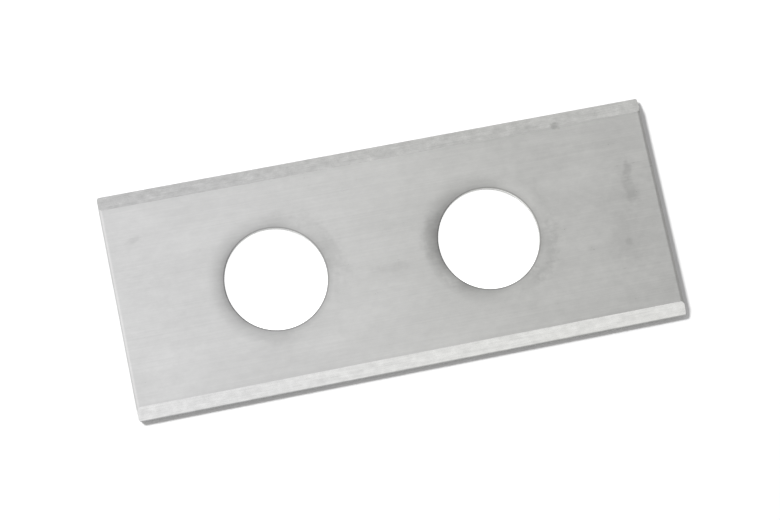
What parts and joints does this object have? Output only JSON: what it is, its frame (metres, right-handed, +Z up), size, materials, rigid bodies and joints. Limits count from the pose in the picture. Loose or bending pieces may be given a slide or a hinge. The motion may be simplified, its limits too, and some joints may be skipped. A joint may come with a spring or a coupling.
{
  "type": "rotary mower blade",
  "caption": "Thin rectangular hardened steel blade with ground cutting edges along its long sides and round punched mounting holes.",
  "frame": {"origin": "middle of the blade's outline, on the flat underside", "axes": "+X along the blade towards its inner end, +Y across it from one cutting edge to the other, +Z up through its thickness"},
  "size_m": [0.043, 0.0176, 0.0008],
  "materials": {
    "steel": "satin rolled strip with a faint lengthwise grain, and brighter ground bevels along the long sides"
  },
  "bodies": {
    "root": {"blade": "steel"}
  },
  "joints": []
}
